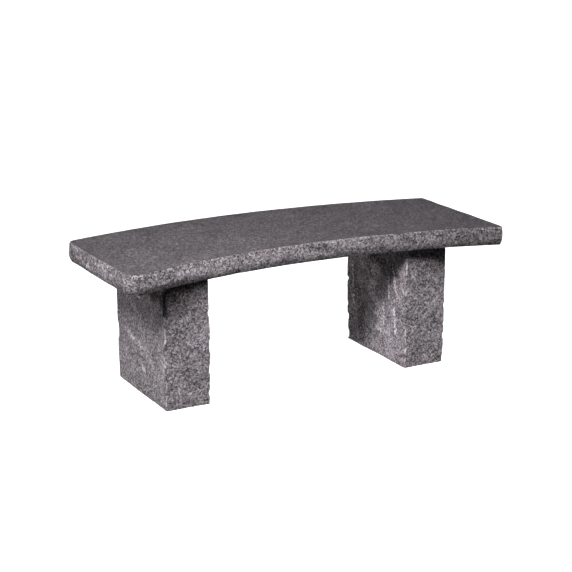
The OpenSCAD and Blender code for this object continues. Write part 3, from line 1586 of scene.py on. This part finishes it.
@dataclass(frozen=True)
class Viewpoint:
    """Camera round the bench, turned a little from the point that the lights aim at."""

    azimuth: float = -27.98
    elevation: float = 16.28
    distance: float = 4.457
    pan: float = 0.39
    tilt: float = 0.41
    lens: float = 92.9

    def build(self, aim: Vector) -> None:
        """Sets up the camera.

        Args:
            aim: Point that it is placed round.
        """
        data = bpy.data.cameras.new("camera")
        data.lens = self.lens
        camera = bpy.data.objects.new("camera", data)
        away = direction(self.azimuth, self.elevation)
        right = Vector((0.0, 0.0, 1.0)).cross(away).normalized()
        up = away.cross(right)
        view = -away + math.tan(math.radians(self.pan)) * right + math.tan(math.radians(self.tilt)) * up
        camera.location = aim + away * self.distance
        camera.rotation_euler = view.to_track_quat("-Z", "Y").to_euler()
        bpy.context.scene.collection.objects.link(camera)
        bpy.context.scene.camera = camera


@dataclass
class Studio:
    """Plain pale floor, plain soft light and the camera."""

    lights: Sequence[SoftBox]
    viewpoint: Viewpoint = Viewpoint()
    aim: Triple = (0.0, 0.053, 0.216)
    floor_size: float = 60.0
    floor_squares: int = 8
    floor_tones: Span = (0.86, 0.88)
    floor_roughness: float = 0.9
    mottle_scale: float = 1.5
    backdrop_radius: float = 28.0
    backdrop_segments: tuple[int, int] = (48, 24)
    glow: float = 1.0
    world_strength: float = 0.037
    cloth_scale: float = 0.2
    cloth_relief: float = 0.1 * MM

    def build(self) -> None:
        """Builds the floor, the backdrop, the world, the lights and the camera."""
        self._floor()
        self._backdrop()
        self._world()
        for light in self.lights:
            light.build(Vector(self.aim))
        self.viewpoint.build(Vector(self.aim))
        bpy.context.scene.view_settings.view_transform = "Standard"

    def _floor(self) -> None:
        """Lays a large pale floor.

        Its own glow keeps it pale to the horizon, and the light that it would throw up at the
        stones comes from the world instead.
        """
        mesh, squares = bmesh.new(), self.floor_squares
        bmesh.ops.create_grid(mesh, x_segments=squares, y_segments=squares, size=self.floor_size / 2)
        shader = Shader("pale_floor")
        mottle = shader.noise(shader.place, self.mottle_scale, detail=3.0)
        dull, pale = ((tone, tone, tone) for tone in self.floor_tones)
        shader.glow(self.glow)
        colour = shader.ramp(mottle, ((0.3, dull), (0.7, pale)))
        material = shader.finish(colour, self.floor_roughness, mottle, self.cloth_relief)
        self._put_up("floor", mesh, material, (Rays.DIFFUSE, Rays.GLOSSY))

    def _backdrop(self) -> None:
        """Hangs a plain white dome round the floor."""
        mesh, (around, upright) = bmesh.new(), self.backdrop_segments
        bmesh.ops.create_uvsphere(mesh, u_segments=around, v_segments=upright, radius=self.backdrop_radius)
        shader = Shader("plain_backdrop")
        cloth = shader.noise(shader.place, self.cloth_scale, detail=2.0)
        shader.glow(self.glow)
        material = shader.finish(BLACK, 1.0, cloth, self.cloth_relief)
        self._put_up("backdrop", mesh, material, tuple(Rays))

    @staticmethod
    def _put_up(
        name: str, mesh: bmesh.types.BMesh, material: bpy.types.Material, unseen: Sequence[Rays]
    ) -> None:
        """Puts up a surface that isn't part of the bench.

        Args:
            name: Name of the surface.
            mesh: Its mesh, which is freed.
            material: Its material.
            unseen: Kinds of ray that it is hidden from, so that it doesn't light the bench.
        """
        data = bpy.data.meshes.new(name)
        mesh.to_mesh(data)
        mesh.free()
        data.materials.append(material)
        surface = bpy.data.objects.new(name, data)
        for rays in unseen:
            setattr(surface, rays.value, False)
        bpy.context.scene.collection.objects.link(surface)

    def _world(self) -> None:
        """Fills the surroundings with plain pale light."""
        world = bpy.data.worlds.new("studio")
        world.use_nodes = True
        background = world.node_tree.nodes["Background"]
        background.inputs["Color"].default_value = WHITE
        background.inputs["Strength"].default_value = self.world_strength
        bpy.context.scene.world = world


# ---------------------------------------------------------------- the bench


GROUND_TOP = Granite(
    "ground_granite", tone=0.089, contrast=0.58, grain=4.6 * MM, relief=0.25 * MM, roughness=0.62,
)
PITCHED_EDGE = Granite(
    "pitched_granite", tone=0.182, contrast=0.8, grain=4.4 * MM, relief=0.4 * MM, roughness=0.85,
    bruise_and_highlight_gain=0.3, hollow_gain=0.25,
)
SPLIT_FACE = Granite(
    "split_granite", tone=0.232, contrast=0.86, grain=4.2 * MM, relief=0.35 * MM, roughness=0.85,
    bruise_and_highlight_gain=0.35, hollow_gain=0.25,
)
SAWN_FACE = Granite(
    "sawn_granite", tone=0.12, contrast=0.5, grain=4.0 * MM, relief=0.2 * MM, roughness=0.7,
)

LEG_RELIEF = {
    Side.LEFT: SplitRelief(
        wave=(0.17, 3.0 * MM), lump=(0.050, 0.9 * MM), facet=(0.012, 0.25 * MM),
        grain=(0.006, 0.3 * MM), seed=11.3,
    ),
    Side.RIGHT: SplitRelief(
        wave=(0.15, 3.0 * MM), lump=(0.045, 1.0 * MM), facet=(0.012, 0.25 * MM),
        grain=(0.006, 0.3 * MM), seed=27.9,
    ),
}

# Marks on the legs, measured from each leg's front left bottom corner, so that X is 0 on its left face and Y
# is 0 on its front. On both legs broad dark marks are painted shadow under the slab, and on the right leg
# another is painted shadow down the back of its left face. The left leg has flecks whitened by crushing, a
# round scar, and two light streaks that are painted highlights on facets in that painted shadow; the right
# one has upright streaks and broad light patches.
LEG_MARKS = {
    Side.LEFT: (
        Mark((0, 262, 276), (0, 160, 228), 14, 1.5, 0.0, 1.0),
        Mark((0, 280, 172), (0, 232, 160), 12, 2.0, 0.6, 1.0),
        Mark((0, 226, 160), (0, 158, 146), 13, 2.1, 0.8, 1.0),
        Mark((0, 244, 98), (0, 196, 114), 5, -3.4, 1.4, 0.3),
        Mark((0, 196, 114), (0, 140, 112), 6, -3.8, 1.6, 0.3),
        Mark((0, 160, 86), (0, 146, 80), 13, 2.2, -0.6, 0.4),
        Mark((0, 194, 88), (0, 184, 82), 9, -3.6, 1.4, 0.4),
        Mark((0, 86, 140), (0, 80, 136), 7, -3.0, 1.0, 0.3),
        Mark((48, 0, 250), (74, 0, 270), 11, 2.0, -0.4, 1.0),
        Mark((78, 0, 312), (106, 0, 340), 9, 1.4, 0.0, 1.0),
        Mark((66, 0, 195), (70, 0, 191), 7, 1.7, 0.0, 0.3),
        Mark((20, 0, 162), (24, 0, 156), 6, -3.0, 1.0, 0.3),
        Mark((70, 0, 40), (106, 0, 47), 10, 1.4, 0.0, 1.0),
        # Painted shadow under the slab on the upper left and front faces.
        Mark((0, 20, 330), (0, 200, 348), 46, -5.0, 0.6, 0.7),
        Mark((0, 6, 310), (0, 60, 330), 32, -3.6, 0.4, 0.7),
        Mark((0, 0, 330), (66, 0, 352), 34, -3.2, 0.4, 0.8),
        # Painted highlights: light streaks on split facets inside that painted shadow.
        Mark((0, 262, 332), (0, 176, 292), 9, 4.5, 0.0, 1.0),
        Mark((0, 120, 352), (0, 96, 306), 8, 4.5, 0.0, 0.9),
    ),
    Side.RIGHT: (
        Mark((0, 76, 298), (0, 50, 228), 9, 5.0, -0.4, 0.9),
        Mark((0, 97, 260), (0, 90, 198), 9, 4.5, -0.3, 0.9),
        Mark((0, 312, 260), (0, 302, 130), 8, 3.6, 0.0, 0.9),
        Mark((0, 60, 170), (0, 52, 98), 10, 5.0, -0.4, 0.9),
        Mark((0, 124, 170), (0, 121, 108), 9, 4.5, -0.3, 0.9),
        Mark((0, 170, 90), (0, 132, 78), 9, 2.4, 0.6, 0.9),
        Mark((0, 126, 90), (0, 94, 82), 9, 2.4, 0.6, 0.9),
        Mark((0, 204, 258), (0, 172, 266), 8, 2.0, 0.0, 0.9),
        Mark((0, 190, 210), (0, 130, 120), 44, 2.0, 0.3, 1.0),
        Mark((0, 260, 330), (0, 180, 270), 50, 1.6, 0.3, 1.0),
        # Painted shadow under the slab, and down the back of the left face.
        Mark((0, 230, 335), (0, 100, 285), 54, -5.0, 0.8, 0.8),
        Mark((0, 300, 220), (0, 250, 60), 48, -3.0, 0.4, 0.9),
        Mark((52, 0, 142), (112, 0, 216), 8, 1.5, -0.6, 0.8),
        Mark((0, 350, 0), (0, 350, 34), 15, 0.0, 7.0, 0.3),
    ),
}

# Marks on the slab's edges, measured from the origin: painted shadow lines and bites along the front arris
# and a broad band of painted light along the front, then the left end, darkened by a broad band of painted
# shade, the front left corner, and chips along the front.
SEAT_MARKS = (
    # Painted shadow lines in shallow bites below the front arris.
    Mark((-545, -249, 429), (-370, -204, 429), 6, -2.4, 1.2, 0.3),
    Mark((-370, -204, 429), (-171, -174, 428.5), 5, -1.8, 0.8, 0.5),
    # Painted light: a broad band that lightens the front edge.
    Mark((-330, -195, 406), (190, -180, 406), 60, 0.3, 0.0, 0.3),
    Mark((-5, -167, 414), (80, -168, 402), 12, -2.2, 1.2, 0.8),
    # Painted shade: a broad band that darkens the left end face.
    Mark((-600, -190, 400), (-604, 150, 400), 60, -0.9, 0.0, 0.3),
    Mark((-603, 65, 398), (-603, 12, 394), 15, 3.0, -0.6, 0.8),
    Mark((-603, 165, 424), (-603, 130, 396), 14, -1.8, 2.6, 0.4),
    Mark((-603, -30, 418), (-603, -140, 408), 14, 1.8, 0.0, 1.0),
    Mark((-590, -252, 415), (-588, -252, 392), 7, 1.8, 0.0, 0.8),
    Mark((-560, -254, 416), (-556, -252, 390), 7, 1.8, 0.0, 0.8),
    Mark((-440, -219, 412), (-360, -202, 404), 13, 1.4, -0.5, 1.0),
    Mark((-250, -183, 380), (-235, -181, 376), 14, -0.5, 2.0, 0.3),
    Mark((262, -185, 431), (300, -190, 431), 7, -0.8, 2.2, 0.4),
)


# The key light is small, so that the slab throws a clear shadow on the legs.
LIGHTS = (
    SoftBox("key", -58.0, 39.0, 2.4, 0.55, 7.8, spread=55.0, aside=0.05),
    SoftBox("right_fill", 60.0, 35.0, 4.6, 2.0, 172.0),
    SoftBox("left_fill", -120.0, 10.0, 2.8, 1.3, 20.6),
)


def dress_node(node: str, material: bpy.types.Material) -> None:
    """Gives a CAD node that is shown as it is a better material.

    Args:
        node: Name of the node.
        material: The material that it gets.
    """
    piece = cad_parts[node]
    piece.data.materials.clear()
    piece.data.materials.append(material)
    log.info("%s: dressed in %s", node, material.name)


def main() -> None:
    """Builds the bench and the studio in order."""
    logging.basicConfig(level=logging.INFO, format="%(name)s: %(message)s")
    noise.seed_set(NOISE_SEED)
    SeatSlab(GROUND_TOP, PITCHED_EDGE, SAWN_FACE, SEAT_MARKS).build()
    resin, plastic = AnchorResin().material(), SpacerPlastic().material()
    for side in Side:
        StoneLeg(side, SPLIT_FACE, SAWN_FACE, LEG_RELIEF[side], LEG_MARKS[side]).build()
        SettingBed(side, Putty()).build()
        dress_node(f"{side.value}_spacers", plastic)
        for place in PinPlace:
            RibbedPin(side, place, PinSteel()).build()
            dress_node(pin_name(side, place, PinPart.RESIN), resin)
    Studio(LIGHTS).build()


if __name__ == "__main__":
    main()
